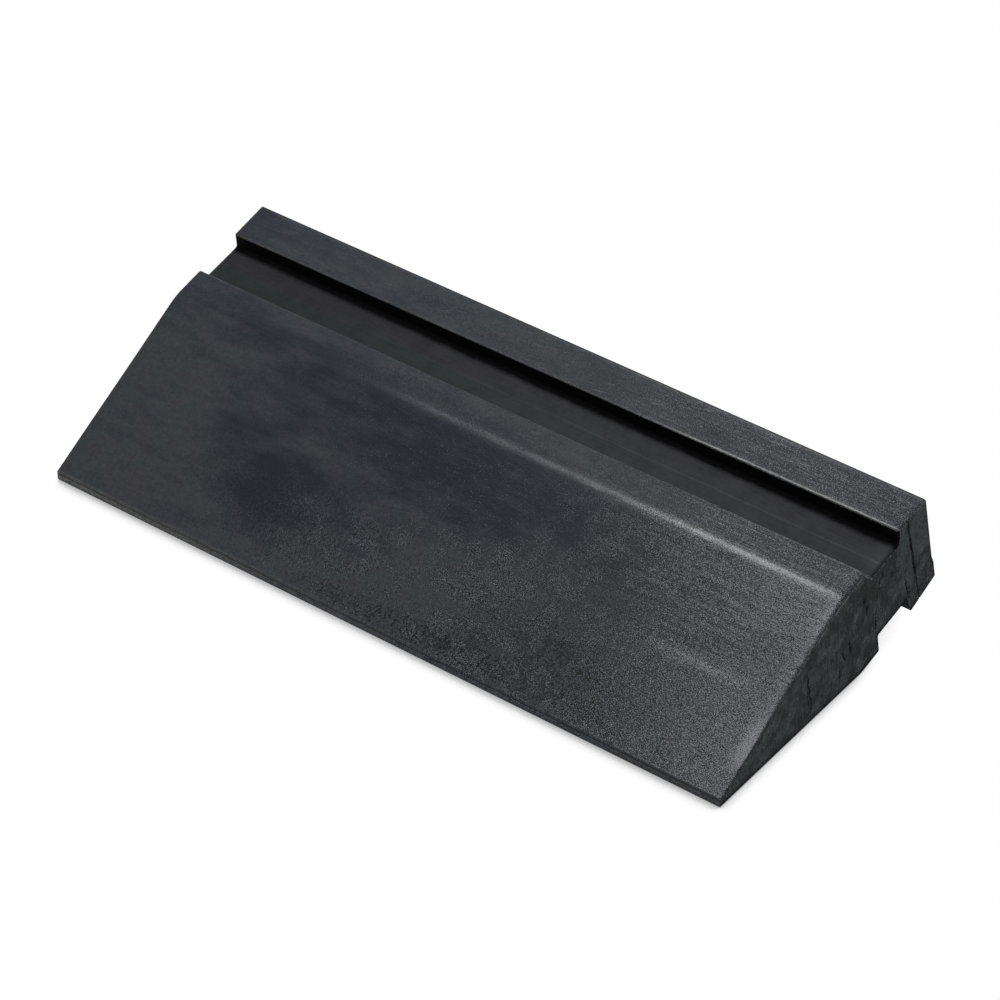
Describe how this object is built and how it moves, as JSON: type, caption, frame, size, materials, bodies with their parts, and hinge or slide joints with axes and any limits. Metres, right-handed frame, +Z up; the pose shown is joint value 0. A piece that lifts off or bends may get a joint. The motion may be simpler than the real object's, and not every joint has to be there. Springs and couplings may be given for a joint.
{
  "type": "rubber kerb ramp",
  "caption": "Solid black rubber kerb ramp: a long wedge with a steep running slope, crest, open channel and raised rear lip, a grooved underside and a bonded rear strip.",
  "frame": {"origin": "middle of the ramp's footprint, on the road: the underside's lowest plane", "axes": "+X along the kerb, +Y from the nose to the rear face, +Z up"},
  "size_m": [0.6, 0.2656, 0.111],
  "materials": {
    "moulded_rubber": "moulded black rubber with a fine pebbled grain, scuffed and dusty, raw-cut ends",
    "strip_rubber": "smooth black sheet rubber, raw-cut ends",
    "rubber_cement": "thin dark matt cement line"
  },
  "bodies": {
    "root": {"ramp_body": "moulded_rubber", "rear_strip": "strip_rubber", "bond_film": "rubber_cement"}
  },
  "joints": []
}
